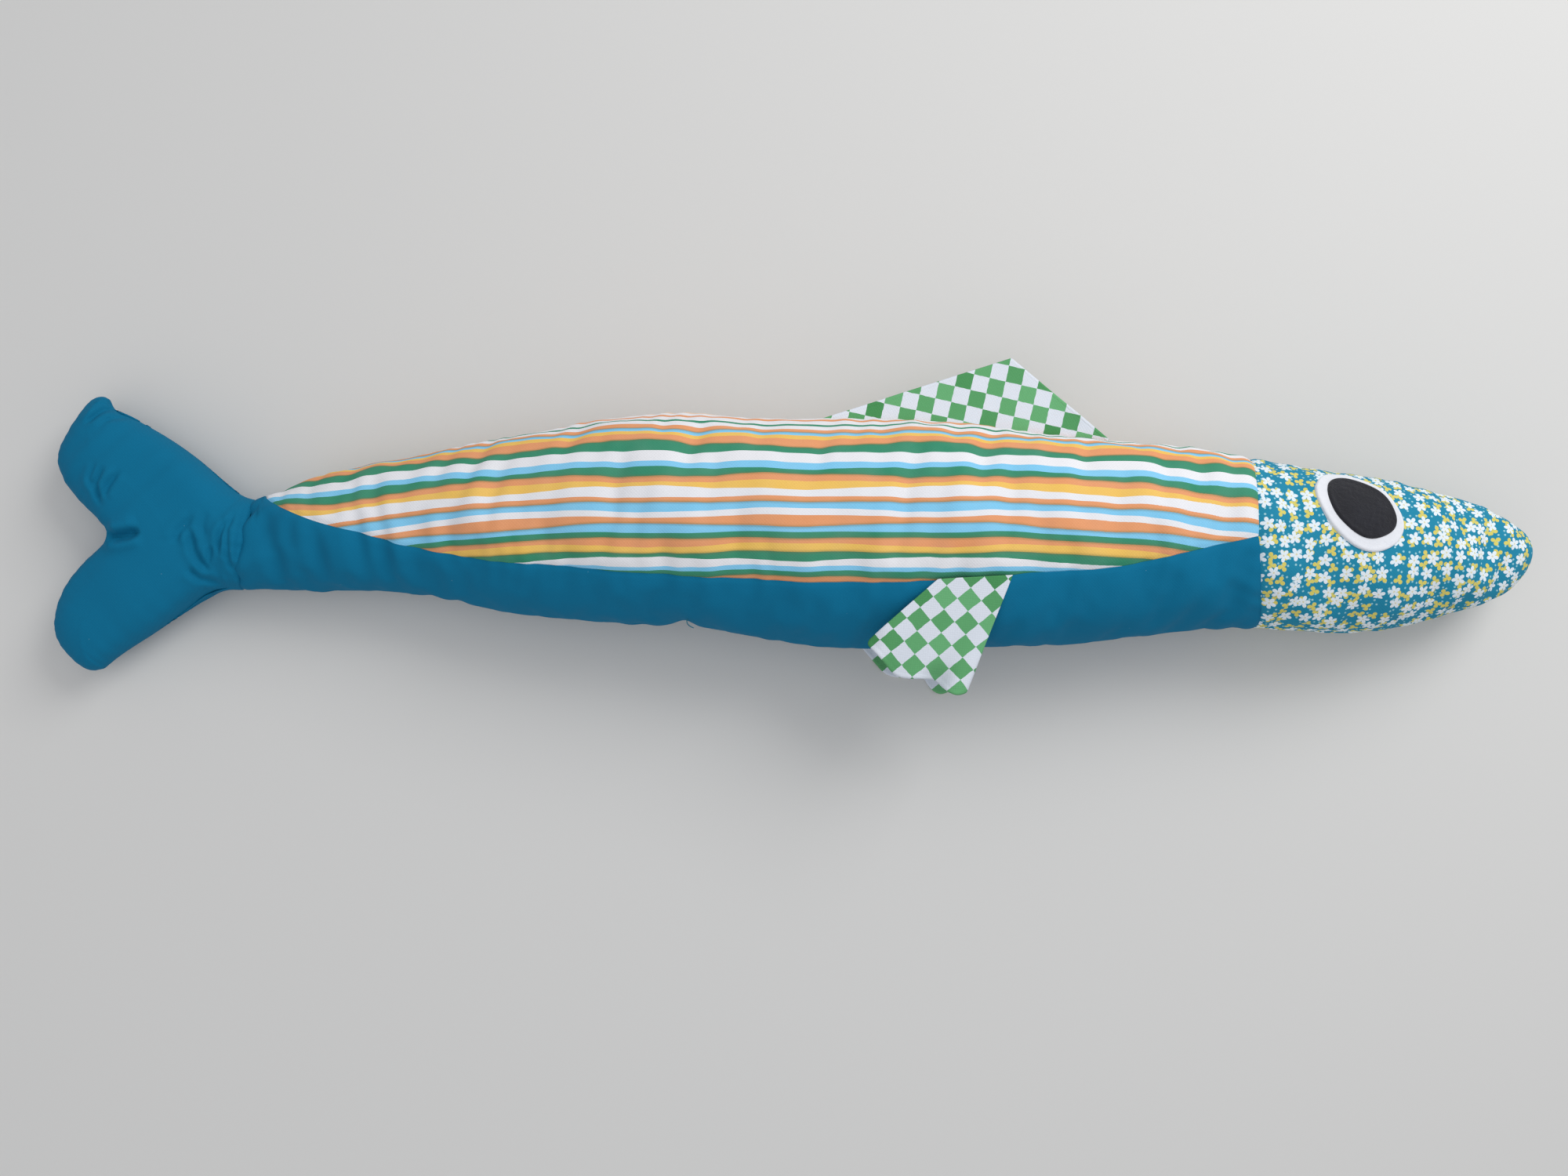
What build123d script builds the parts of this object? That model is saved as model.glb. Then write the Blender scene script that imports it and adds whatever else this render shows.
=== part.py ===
"""Stuffed fabric fish, lying on its left side.

Millimetres. +X runs to the snout, +Y to the back (dorsal side), +Z out of the upper, right flank.
The origin is on the floor under the middle of the bounding box.
"""

import os

from build123d import *

# Cloth and felt
CLOTH = 1.0  # cotton with its seam allowance behind it, as one skin
SLACK = 0.15  # filling to skin
FELT = 1.5
WOOL = 2.5  # black woolly pupil
FIN_FACE = 0.8  # one face of a two-layer fin

# Body sections from the tail seam to the snout: x, back edge y, belly edge y, middle z, half thickness
SECTIONS = [
    (-330, 19.5, -35.5, 24, 21),
    (-290, 32.5, -37, 27, 26),
    (-212, 48.5, -41, 35, 34),
    (-135, 62, -52.5, 43.7, 43),
    (-60, 69.5, -58.5, 48.5, 49),
    (15, 66.5, -68, 49.5, 50),
    (90, 62, -69.5, 49.5, 50),
    (165, 56, -68, 47.5, 48),
    (240, 48.5, -60.5, 45.5, 44),
    (282, 41.5, -59, 44.5, 41),
    (320, 36, -61, 44, 39),
    (360, 29.5, -59, 42, 35.5),
    (400, 19, -49.5, 38, 30),
    (430, 6.5, -37, 34, 20),
    (445, -2.5, -24, 31.5, 10),
    (450, -10.2, -13.8, 31, 1.7),
]

# Seams on the flanks, seen along Z
FLANK_SEAM = [(-360, 50), (-316, 20), (-283, 6), (-224, -10), (-139, -22), (-3, -31), (85, -30), (174, -24),
              (268, -4.5), (300, 3)]
NECK_SEAM = [(283, 70), (268, -8), (287, -90)]

# Tail: the seam is also the line it swings about
TAIL_X = -330
TAIL_Z = 24
BEVEL_RUN = 0.29  # each end leans back this much per millimetre, half the swing and a little more
TAIL_GAP = 0.3
# Lobe sections: x, y, half width, half thickness, direction of the lobe in degrees from -X
UPPER_LOBE = [
    (-330, -8, 27.5, 21, 0),
    (-352, 2, 33, 21.5, -25),
    (-381, 20, 37, 22, -42),
    (-406, 38, 35, 21.5, -46),
    (-425, 54, 28, 18, -50),
    (-432, 68, 17, 11, -56),
    (-424, 83, 2.5, 2, -64),
]
LOWER_LOBE = [
    (-330, -8, 27.5, 21, 0),
    (-352, -15, 32, 21.5, 20),
    (-381, -29, 36, 22, 38),
    (-407, -46, 35, 21.5, 42),
    (-428, -61, 27, 18, 46),
    (-436, -73, 16, 11, 54),
    (-427, -85, 2.5, 2, 62),
]
TAIL_MID_Z = 22.2
FORK_Y = -6  # the lobes part here

# Fins
DORSAL_ROOT = [(18, 68.4), (190, 56.8)]
DORSAL_APEX = (132, 102.5)
DORSAL_Z = 48.5
# Pectoral fin outline: along its root towards the head, and away from the root
PECTORAL_OUTLINE = [(0, 0), (42, 0), (15, 67), (8, 69), (0, 64), (-3, 57), (-26, 55.5), (-40, 36), (-38.5, 31)]
PECTORAL_ROOT_RIGHT = (82.6, -29.5, 96.6)
PECTORAL_DROOP = 12.7  # how far the right fin slopes down from its root
PECTORAL_ROOT_LEFT = (83, -33, 0.9)
ROOT_TURN = 3.1  # the flank seam's direction at the pectoral fins

# Eye ovals: centre x, y, half length, half height
EYE_WHITE = (326, 9, 25.5, 23.3)
PUPIL = (327.5, 11, 19.5, 17.5)
EYE_TILT = -25

# Closing stitches over the turning gap in the belly seam
STITCH_FROM = -68
STITCH_PITCH = 5
STITCHES = 8
STITCH_RADIUS = 0.4
STITCH_LENGTH = 3.5
STITCH_SLANT = 20
STITCH_GAP = 0.3  # the thread stands this far off the cloth

REACH = 600  # long enough to run past the whole fish


def section_plane(x, back, belly, middle):
    """The plane of one body section, local x towards the back and local y out of the right flank."""
    return Plane(origin=(x, (back + belly) / 2, middle), x_dir=(0, 1, 0), z_dir=(1, 0, 0))


def body_layer(inside, outside, half):
    """A layer round one side of the body, its sections grown by `inside` and `outside`.

    half is Align.MIN for the right side and Align.MAX for the left.
    """
    with BuildPart() as layer:
        for x, back, belly, middle, half_thickness in SECTIONS:
            half_height = (back - belly) / 2
            with BuildSketch(section_plane(x, back, belly, middle)):
                Ellipse(half_height + outside, half_thickness + outside)
                Ellipse(half_height + inside, half_thickness + inside, mode=Mode.SUBTRACT)
                Rectangle(REACH, REACH, align=(Align.CENTER, half), mode=Mode.INTERSECT)
        loft()
    return layer.part


def lobe_layer(lobe, inside, outside, half):
    """A layer round one side of one tail lobe, up to the line where the lobes part.

    Its sections are grown by `inside` and `outside`. With no half it is the whole lobe, solid.
    """
    keep_side = Align.MIN if lobe is UPPER_LOBE else Align.MAX
    with BuildPart() as layer:
        for x, y, half_width, half_thickness, turn in lobe:
            across = Vector(0, 1, 0).rotate(Axis.Z, turn)
            towards_body = Vector(1, 0, 0).rotate(Axis.Z, turn)
            with BuildSketch(Plane(origin=(x, y, TAIL_MID_Z), x_dir=across, z_dir=towards_body)):
                Ellipse(half_width + outside, half_thickness + outside)
                if half is not None:
                    Ellipse(half_width + inside, half_thickness + inside, mode=Mode.SUBTRACT)
                    Rectangle(REACH, REACH, align=(Align.CENTER, half), mode=Mode.INTERSECT)
        loft()
        with Locations((0, FORK_Y, 0)):
            Box(REACH * 2, REACH, REACH, align=(Align.CENTER, keep_side, Align.CENTER), mode=Mode.INTERSECT)
        add(tail_end, mode=Mode.INTERSECT)
    return layer.part


def above(points):
    """Everything on the back's side of a curve drawn in plan."""
    with BuildPart() as region:
        with BuildSketch(Plane.XY.offset(-REACH)):
            with BuildLine():
                seam = Spline(*points)
                Polyline(seam @ 1, (points[-1][0], REACH), (points[0][0], REACH), seam @ 0)
            make_face()
        extrude(amount=2 * REACH)
    return region.part


def ahead_of_neck():
    """Everything on the head's side of the neck seam."""
    top, middle, bottom = NECK_SEAM
    with BuildPart() as region:
        with BuildSketch(Plane.XY.offset(-REACH)):
            with BuildLine():
                neck = ThreePointArc(top, middle, bottom)
                Polyline(neck @ 1, (REACH, bottom[1]), (REACH, top[1]), neck @ 0)
            make_face()
        extrude(amount=2 * REACH)
    return region.part


def swing_wedge(side):
    """Everything on one side of the tail seam, cut back so that the tail can swing. side is 1 for the body."""
    apex = (TAIL_X + side * TAIL_GAP / 2, TAIL_Z)
    rise = REACH
    run = rise * BEVEL_RUN
    with BuildPart() as region:
        with BuildSketch(Plane.XZ.offset(-REACH)):
            with BuildLine():
                Polyline(apex, (apex[0] + side * run, TAIL_Z + rise), (side * 2 * REACH, TAIL_Z + rise),
                         (side * 2 * REACH, TAIL_Z - rise), (apex[0] + side * run, TAIL_Z - rise), apex)
            make_face()
        extrude(amount=2 * REACH)
    return region.part


def below(region):
    """The other side of a region that fills half of all the space here."""
    with BuildPart() as rest:
        Box(2 * REACH, 2 * REACH, 2 * REACH)
        add(region, mode=Mode.SUBTRACT)
    return rest.part


def above_floor(height):
    """Everything higher than `height`."""
    with BuildPart() as region:
        with Locations((0, 0, height)):
            Box(4 * REACH, 4 * REACH, 2 * REACH, align=(Align.CENTER, Align.CENTER, Align.MIN))
    return region.part


def oval_column(oval):
    """An oval seen along Z, as a column through the whole head."""
    x, y, half_length, half_height = oval
    with BuildPart() as column:
        with BuildSketch(Plane.XY.offset(-REACH)):
            with Locations(Location((x, y, 0), (0, 0, EYE_TILT))):
                Ellipse(half_length, half_height)
        extrude(amount=2 * REACH)
    return column.part


def fin_plane(root, droop):
    """A pectoral fin's plane: local x along its root to the head, local y away from the root, local z down."""
    along_root = Vector(1, 0, 0).rotate(Axis.Z, ROOT_TURN)
    down = Vector(0, 0, -1).rotate(Axis((0, 0, 0), along_root), droop)
    return Plane(origin=root, x_dir=along_root, z_dir=down)


def write(piece, name):
    """Labels a finished piece and writes its STEP file."""
    piece.part.label = name
    export_step(piece.part, f"parts/{name}.step")


os.makedirs("parts", exist_ok=True)

# Halves of space that the seams divide
back_side = above(FLANK_SEAM)
belly_side = below(back_side)
head_side = ahead_of_neck()
body_side = below(head_side)
body_end = swing_wedge(1)
tail_end = swing_wedge(-1)

with BuildPart() as body_stuffing:
    for x, back, belly, middle, half_thickness in SECTIONS:
        with BuildSketch(section_plane(x, back, belly, middle)):
            Ellipse((back - belly) / 2 - CLOTH - SLACK, half_thickness - CLOTH - SLACK)
    loft()
    add(body_end, mode=Mode.INTERSECT)
write(body_stuffing, "body_stuffing")

for side_name, half in (("right", Align.MIN), ("left", Align.MAX)):
    # Skin of one side, flattened where it lies on the floor, then its three panels
    with BuildPart() as skin:
        add(body_layer(-CLOTH, 0, half))
        add(body_end, mode=Mode.INTERSECT)
        add(above_floor(0), mode=Mode.INTERSECT)

    with BuildPart() as back_panel:
        add(skin.part)
        add(body_side, mode=Mode.INTERSECT)
        add(back_side, mode=Mode.INTERSECT)
    write(back_panel, f"back_panel_{side_name}")

    with BuildPart() as belly_panel:
        add(skin.part)
        add(body_side, mode=Mode.INTERSECT)
        add(belly_side, mode=Mode.INTERSECT)
    write(belly_panel, f"belly_panel_{side_name}")

    with BuildPart() as head_panel:
        add(skin.part)
        add(head_side, mode=Mode.INTERSECT)
    write(head_panel, f"head_panel_{side_name}")

    # Eye: a felt oval laid on the head, with a woolly pupil on it
    with BuildPart() as eye_white:
        add(oval_column(EYE_WHITE))
        add(body_layer(0, FELT, half), mode=Mode.INTERSECT)
    write(eye_white, f"eye_white_{side_name}")

    with BuildPart() as pupil:
        add(oval_column(PUPIL))
        add(body_layer(FELT, FELT + WOOL, half), mode=Mode.INTERSECT)
    write(pupil, f"pupil_{side_name}")

# Tail: skin in two halves around its filling, cut back along the seam it swings about
for side_name, half in (("right", Align.MIN), ("left", Align.MAX)):
    with BuildPart() as tail_panel:
        for lobe in (UPPER_LOBE, LOWER_LOBE):
            add(lobe_layer(lobe, -CLOTH, 0, half))
    write(tail_panel, f"tail_panel_{side_name}")

with BuildPart() as tail_stuffing:
    for lobe in (UPPER_LOBE, LOWER_LOBE):
        add(lobe_layer(lobe, None, -CLOTH - SLACK, None))
write(tail_stuffing, "tail_stuffing")

# Dorsal fin: two faces back to back in the median plane
for side_name, amount in (("right", FIN_FACE), ("left", -FIN_FACE)):
    with BuildPart() as dorsal_face:
        with BuildSketch(Plane.XY.offset(DORSAL_Z)):
            with BuildLine():
                Polyline(*DORSAL_ROOT, DORSAL_APEX, DORSAL_ROOT[0])
            make_face()
        extrude(amount=amount)
    write(dorsal_face, f"dorsal_fin_{side_name}_face")

# Pectoral fins: an outer layer on the side away from the body, and a lining
pectoral_planes = (
    ("right", fin_plane(PECTORAL_ROOT_RIGHT, PECTORAL_DROOP), -FIN_FACE),
    ("left", fin_plane(PECTORAL_ROOT_LEFT, 0), FIN_FACE),
)
for side_name, plane, outwards in pectoral_planes:
    for layer_name, amount in (("outer", outwards), ("lining", -outwards)):
        with BuildPart() as fin_layer:
            with BuildSketch(plane):
                with BuildLine():
                    Polyline(*PECTORAL_OUTLINE, PECTORAL_OUTLINE[0])
                make_face()
            extrude(amount=amount)
        write(fin_layer, f"pectoral_fin_{side_name}_{layer_name}")


def belly_edge(x):
    """The belly seam's y and z at x, along straight runs between the sections."""
    for (x0, _, y0, z0, _), (x1, _, y1, z1, _) in zip(SECTIONS, SECTIONS[1:]):
        if x0 <= x <= x1:
            share = (x - x0) / (x1 - x0)
            return y0 + share * (y1 - y0), z0 + share * (z1 - z0)


# Closing stitches across the belly seam, one short length of thread each
with BuildPart() as closing_stitches:
    for number in range(STITCHES):
        x = STITCH_FROM + number * STITCH_PITCH
        y, z = belly_edge(x)
        with Locations(Location((x, y - STITCH_RADIUS - STITCH_GAP, z), (0, STITCH_SLANT, 0))):
            Cylinder(STITCH_RADIUS, STITCH_LENGTH)
write(closing_stitches, "closing_stitches")
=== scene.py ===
"""Stuffed fabric fish on its left side: sewn cotton panels over a fibre filling, check fins and felt eyes.

The frame is in metres: +X to the snout, +Y to the back, +Z out of the upper, right flank. The floor is z = 0.
"""

import math

import bpy
import numpy as np
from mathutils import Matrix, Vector


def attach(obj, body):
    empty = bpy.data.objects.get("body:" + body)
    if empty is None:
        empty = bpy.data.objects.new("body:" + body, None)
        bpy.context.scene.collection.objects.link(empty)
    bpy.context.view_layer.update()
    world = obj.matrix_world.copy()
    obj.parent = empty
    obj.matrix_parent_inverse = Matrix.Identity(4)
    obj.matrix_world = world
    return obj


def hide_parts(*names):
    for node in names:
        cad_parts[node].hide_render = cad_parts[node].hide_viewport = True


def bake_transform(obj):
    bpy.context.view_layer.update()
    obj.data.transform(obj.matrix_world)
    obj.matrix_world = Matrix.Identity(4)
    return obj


MM = 0.001
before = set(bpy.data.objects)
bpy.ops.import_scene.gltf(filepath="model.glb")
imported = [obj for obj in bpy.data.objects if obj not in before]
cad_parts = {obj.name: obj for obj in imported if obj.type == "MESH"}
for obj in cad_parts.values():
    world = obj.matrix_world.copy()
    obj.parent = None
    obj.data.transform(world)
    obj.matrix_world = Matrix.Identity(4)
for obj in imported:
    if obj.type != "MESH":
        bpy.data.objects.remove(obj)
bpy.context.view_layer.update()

# --- sizes, in millimetres

# Body sections: x, back edge y, belly edge y, middle z, half thickness
SECTIONS = np.array([
    (-345, 17, -36, 23, 20), (-328, 19.5, -35.5, 24, 21), (-308, 25.5, -36.2, 25.5, 23.5),
    (-290, 32.6, -36.8, 27, 26), (-262, 39.5, -36.5, 30, 29), (-212, 48.7, -40.1, 35, 34),
    (-173, 55.6, -48.4, 40, 39), (-135, 62.2, -52.6, 43.7, 43), (-97, 68.2, -55.8, 47, 46.5),
    (-62, 69.7, -56.6, 48.5, 48.8), (-22, 66.8, -63.2, 49.2, 49.6), (15, 66.4, -68.4, 49.5, 50),
    (90, 64.5, -69.3, 49.5, 50), (128, 59.9, -69.3, 48.8, 49.2), (165, 56, -68, 47.5, 48),
    (203, 52.8, -63.8, 46.5, 46.3), (241, 48.9, -59.7, 45.5, 44), (282, 41.4, -58.8, 44.5, 41),
    (317, 36.3, -61.3, 44, 39), (356, 30.8, -59.4, 42, 35.8), (396, 21.1, -50.5, 38.3, 30.3),
    (416, 15, -44.4, 35.8, 25.5), (436, 4.8, -34.4, 33, 17), (446, -2.9, -22.5, 31.5, 9),
    (450, -9.5, -14.5, 31, 2.5),
], float)

# The seam between back and belly, seen along Z
FLANK_SEAM = np.array([(-330, 28), (-316, 20), (-283, 6), (-253, -2), (-224, -10), (-185, -17.5), (-139, -21.7),
                       (-93, -25.8), (-48, -28.6), (-3, -30.8), (41, -31.7), (85, -30.4), (125, -27),
                       (174, -23.8), (197, -20.6), (219, -15.2), (242, -10.3), (267.5, -4.5), (300, 3)], float)
SNOUT_X = 450

# Tail outline from the tail seam out to each tip, and along the rear edge
TAIL_TOP_EDGE = np.array([(-327.5, 19.5), (-334.7, 21.4), (-344.3, 28.1), (-363.6, 45.4), (-382.8, 58.8),
                          (-402, 69.4), (-411.6, 73.3), (-416, 76.8), (-417.5, 81.5)], float)
TAIL_LOW_EDGE = np.array([(-335.5, -34), (-344, -34.2), (-354, -36.9), (-373.2, -50.2), (-392.4, -63.7),
                          (-411.6, -75.8), (-421, -84)], float)
TAIL_REAR_EDGE = np.array([(-417.5, 81.5), (-421, 83.4), (-426, 82.4), (-431, 77.4), (-440.4, 62.2),
                           (-446.6, 51), (-447.8, 40.1), (-440.6, 26.1), (-431, 15.5), (-421.2, 6.9),
                           (-412.5, -2.7), (-420.5, -9.5), (-431, -17.5), (-440.8, -30), (-448.6, -47.5),
                           (-449.8, -58.4), (-447.6, -68), (-438, -79.5), (-429, -85.7), (-421, -84)], float)
TAIL_MIDDLE = 22.2
TAIL_FULLNESS = 0.77  # half thickness of the tail for each millimetre of half width

CLOTH = 0.5
FIN_CLOTH = 0.3
TUCK = 2.5  # the seam allowance turned in behind each edge
FLOOR_GAP = 0.4  # where the cloth lies on the floor
GAP_X = -62  # the turning gap in the belly seam, sewn up by hand
EYE_X = 326
SIDES = (("right", 1), ("left", -1))

# The camera looks straight down
CAMERA_AT = (-3.2, -34.4, 841)
CAMERA_ANGLE = 60.9


# --- small numeric helpers

def smooth(at, xs, ys):
    """Cubic through the points (xs, ys), its slope at each point the mean of the slopes on both sides."""
    slopes = np.gradient(ys, xs)
    k = np.clip(np.searchsorted(xs, at) - 1, 0, len(xs) - 2)
    width = xs[k + 1] - xs[k]
    t = np.clip((at - xs[k]) / width, 0, 1)
    return ((2 * t**3 - 3 * t**2 + 1) * ys[k] + (t**3 - 2 * t**2 + t) * width * slopes[k]
            + (3 * t**2 - 2 * t**3) * ys[k + 1] + (t**3 - t**2) * width * slopes[k + 1])


def section(x):
    """Middle y, middle z, half height and half thickness of the body at x."""
    back, belly, middle, half_thickness = (smooth(x, SECTIONS[:, 0], SECTIONS[:, n]) for n in (1, 2, 3, 4))
    return (back + belly) / 2, middle, np.maximum((back - belly) / 2, 0.3), np.maximum(half_thickness, 0.3)


def flank_angle(x):
    """The flank seam's angle round the body at x, from 0 on the back to pi on the belly."""
    centre, _, half_height, _ = section(x)
    seam_y = smooth(x, FLANK_SEAM[:, 0], FLANK_SEAM[:, 1])
    return np.arccos(np.clip((seam_y - centre) / half_height, -1, 1))


def neck_x(angle):
    """Where the neck seam lies at an angle round the body: it bows back on each flank."""
    return 274.8 - 2.2 * np.cos(angle) - 8.8 * np.sin(angle) ** 2


def tail_seam_x(angle):
    """Where the tail seam lies at an angle round the body: it leans back towards the belly and bows to the head."""
    return -331.5 + 4 * np.cos(angle) + 2.5 * np.sin(angle) ** 2


def waves(along, pitch, seed):
    """An uneven wave: five sines about one pitch with seeded lengths and phases, about -1 to 1."""
    draw = np.random.default_rng(seed)
    total = 0
    for _ in range(5):
        total = total + np.sin(2 * np.pi * along / (pitch * draw.uniform(0.6, 1.7)) + draw.uniform(0, 6.3))
    return total / 2.6


def bump(distance, width):
    """A bell of height 1, `width` wide to its shoulder."""
    return np.exp(-((distance / width) ** 2))


def unit(vectors):
    """Vectors made 1 long."""
    return vectors / np.maximum(np.linalg.norm(vectors, axis=-1, keepdims=True), 1e-9)


def read_grid(field, row, column):
    """A grid's value between its points: the mean of the four nearest, each weighted by how near it is."""
    i = np.clip(row.astype(int), 0, field.shape[0] - 2)
    j = np.clip(column.astype(int), 0, field.shape[1] - 2)
    u, v = np.clip(row - i, 0, 1), np.clip(column - j, 0, 1)
    return ((1 - u) * (1 - v) * field[i, j] + u * (1 - v) * field[i + 1, j] + (1 - u) * v * field[i, j + 1]
            + u * v * field[i + 1, j + 1])


def coons_patch(first, last, left, right, along, across):
    """Plan points between four border lines: the sum of the blends between opposite borders, less the corners'.

    along is each point's share of the way from first to last, and across from left to right.
    """
    return ((1 - across) * left[:, None] + across * right[:, None] + (1 - along) * first[None] + along * last[None]
            - ((1 - along) * ((1 - across) * left[0] + across * right[0])
               + along * ((1 - across) * left[-1] + across * right[-1])))


# --- the body's surface

SETTLING = {}  # the blown-up cover's displacement in mm, its first x and its step in x, once worked out


def settled(x, angle):
    """How far the blown-up cover moved at (x, angle), in mm, read between the points of its fine grid."""
    if not SETTLING:
        return 0
    field = SETTLING["field"]
    around = np.mod((angle + np.pi) / (2 * np.pi), 1) * (field.shape[1] - 1)
    return read_grid(field, (x - SETTLING["first"]) / SETTLING["step"], around)


def body_relief(x, angle):
    """How far the filled cloth stands off the plain section, in mm.

    Each seam lies in a ditch between two soft rolls, and draws short puckers into the cloth beside it.
    Long hollows and swellings of the filling run under all of it.
    """
    _, _, half_height, half_thickness = section(x)
    radius = (half_height + half_thickness) / 2
    around = np.abs(angle)
    relief = 1.5 * waves(x + 25 * np.cos(angle), 80, 3) * np.sin(around) ** 2
    relief = relief + 0.55 * waves(x + 14 * angle, 27, 11) * np.sin(around)
    seams = (
        (radius * around, x, 0.8),
        (radius * (np.pi - around), x, 0.8),
        (np.where(x < 285, radius * (around - flank_angle(x)), 99), x, 0.55),
        (x - neck_x(angle), radius * angle, 0.8),
        (x - tail_seam_x(angle), radius * angle, 1.6),
    )
    for number, (distance, along, pull) in enumerate(seams):
        distance = np.abs(distance)
        relief = relief - pull * 1.3 * bump(distance, 1.7) + pull * 0.45 * bump(distance - 7, 5)
        uneven = np.clip(0.45 + 0.75 * waves(along, 75, 30 + number), 0, 1.2)
        puckers = uneven * waves(along + 0.25 * distance, 15, 20 + number) * np.exp(-distance / 12)
        relief = relief + pull * 0.75 * puckers
    # soft upright folds in the belly towards the tail
    folds = waves(x + 7 * np.cos(angle), 19, 41) * bump(x + 262, 65) * bump(around - 2.0, 0.8)
    relief = relief + 1.3 * folds
    # the turning gap's closing draws the belly seam in
    below = radius * (np.pi - around)
    relief = relief - 3.2 * bump(x - GAP_X, 6) * bump(below, 16) + 0.8 * bump(x - GAP_X + 16, 8) * bump(below, 14)
    fade = np.clip((SNOUT_X - x) / 30, 0, 1)
    under_eye = bump(x - EYE_X, 38) * bump(around - 1.0, 0.8)  # the felt holds the cloth smooth
    return (relief + settled(x, angle)) * fade * (1 - 0.92 * under_eye)


def body_point(x, angle, lift=0.0):
    """Points on the body, in mm: an ellipse round the middle line at each x, moved out by relief and `lift`.

    angle runs from 0 on the back over the right flank to pi on the belly, and is negative on the left flank.
    """
    def plain(x, angle):
        centre, middle, half_height, half_thickness = section(x)
        return np.stack([x + 0 * angle, centre + half_height * np.cos(angle),
                         middle + half_thickness * np.sin(angle)], -1)

    along = plain(x + 0.5, angle) - plain(x - 0.5, angle)
    around = plain(x, angle + 0.01) - plain(x, angle - 0.01)
    normal = unit(np.cross(around, along))
    outward = np.stack([0 * angle, np.cos(angle), np.sin(angle)], -1)
    normal = normal * np.sign((normal * outward).sum(-1, keepdims=True) + 1e-9)
    points = plain(x, angle) + normal * (body_relief(x, angle) + lift)[..., None]
    points[..., 2] = np.maximum(points[..., 2], FLOOR_GAP)
    return points


def across_cloth(x, angle):
    """How far a point is from the flank's middle line along the cloth, in mm, plus that line's own y."""
    centre, _, half_height, half_thickness = section(x)
    steps = np.linspace(0, 1, 25)
    turn = np.pi / 2 + (np.abs(angle)[..., None] - np.pi / 2) * steps
    y = half_height[..., None] * np.cos(turn)
    z = half_thickness[..., None] * np.sin(turn)
    arc = np.hypot(np.diff(y), np.diff(z)).sum(-1)
    return centre + arc * np.sign(np.pi / 2 - np.abs(angle))


# --- meshes

def grid_faces(rows, columns, offset=0, flip=False):
    """Quads of a grid of points, row by row."""
    corner = (np.arange(rows - 1)[:, None] * columns + np.arange(columns - 1)).ravel() + offset
    quads = np.stack([corner, corner + 1, corner + columns + 1, corner + columns], -1)
    return quads[:, ::-1] if flip else quads


def rim_faces(rows, columns, offset, flip=False):
    """Quads that join the border of a grid to the border of the same grid `offset` points later."""
    top = np.arange(columns)
    right = np.arange(rows) * columns + columns - 1
    loop = np.concatenate([top, right[1:], (np.arange(columns) + (rows - 1) * columns)[::-1][1:],
                           (np.arange(rows) * columns)[::-1][1:]])
    a, b = loop[:-1], loop[1:]
    quads = np.stack([b, a, a + offset, b + offset], -1)
    return quads[:, ::-1] if flip else quads


def make_mesh(name, points, faces, uv=None, attributes=None):
    """A smooth-shaded mesh object from points in mm, with a UV map in units of 100 mm and point attributes."""
    mesh = bpy.data.meshes.new(name)
    mesh.from_pydata((np.asarray(points, float).reshape(-1, 3) * MM).tolist(), [],
                     faces if isinstance(faces, list) else faces.tolist())
    if uv is not None:
        corners = np.zeros(len(mesh.loops), np.int32)
        mesh.loops.foreach_get("vertex_index", corners)
        layer = mesh.uv_layers.new(name="cloth")
        layer.data.foreach_set("uv", (np.asarray(uv, float).reshape(-1, 2)[corners] / 100).ravel())
    for key, values in (attributes or {}).items():
        attribute = mesh.attributes.new(key, "FLOAT", "POINT")
        attribute.data.foreach_set("value", np.asarray(values, np.float32).ravel())
    mesh.polygons.foreach_set("use_smooth", [True] * len(mesh.polygons))
    mesh.update()
    piece = bpy.data.objects.new(name, mesh)
    bpy.context.scene.collection.objects.link(piece)
    return piece


def ring_faces(rows, columns):
    """Quads of a grid whose columns go once round, then the numbers of one row's points and of the next ones round."""
    ring = np.arange(columns)
    onward = (ring + 1) % columns
    start = np.arange(rows - 1)[:, None] * columns
    quads = np.stack([start + ring, start + onward, start + columns + onward, start + columns + ring], -1)
    return quads.reshape(-1, 4), ring, onward


def closed_lump(name, points, flip=False):
    """A closed mesh from a grid whose columns go once round it, with a fan over its first and its last row."""
    rows, columns = points.shape[:2]
    count = rows * columns
    sides, ring, onward = ring_faces(rows, columns)
    first = np.stack([onward, ring, np.full(columns, count)], -1)
    last = np.stack([ring + count - columns, onward + count - columns, np.full(columns, count + 1)], -1)
    faces = [(part[:, ::-1] if flip else part).tolist() for part in (sides, first, last)]
    ends = np.stack([points[0].mean(0), points[-1].mean(0)])
    return make_mesh(name, np.concatenate([points.reshape(-1, 3), ends]), sum(faces, []))


def joined_sides(name, face, back, flip=False, uv=None, attributes=None):
    """A closed mesh of two grids of one size, one behind the other, joined round their borders."""
    rows, columns = face.shape[:2]
    count = rows * columns
    faces = np.concatenate([grid_faces(rows, columns, 0, not flip), grid_faces(rows, columns, count, flip),
                            rim_faces(rows, columns, count, not flip)])
    return make_mesh(name, np.concatenate([face.reshape(-1, 3), back.reshape(-1, 3)]), faces, uv, attributes)


def cloth_leaf(name, points, uv, outward, thickness=CLOTH, attributes=None):
    """A closed thin sheet: a grid of points on its face, and the same grid `thickness` mm behind it.

    `outward` is a direction, or a grid of them, on the side that the face shows.
    """
    normal = unit(np.cross(np.gradient(points, axis=1), np.gradient(points, axis=0)))
    facing = (normal * outward).sum(-1).mean()
    back = points - normal * np.sign(facing) * thickness
    twice = {key: np.concatenate([value.ravel()] * 2) for key, value in (attributes or {}).items()}
    return joined_sides(name, points, back, facing < 0, np.concatenate([uv.reshape(-1, 2)] * 2), twice)


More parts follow.
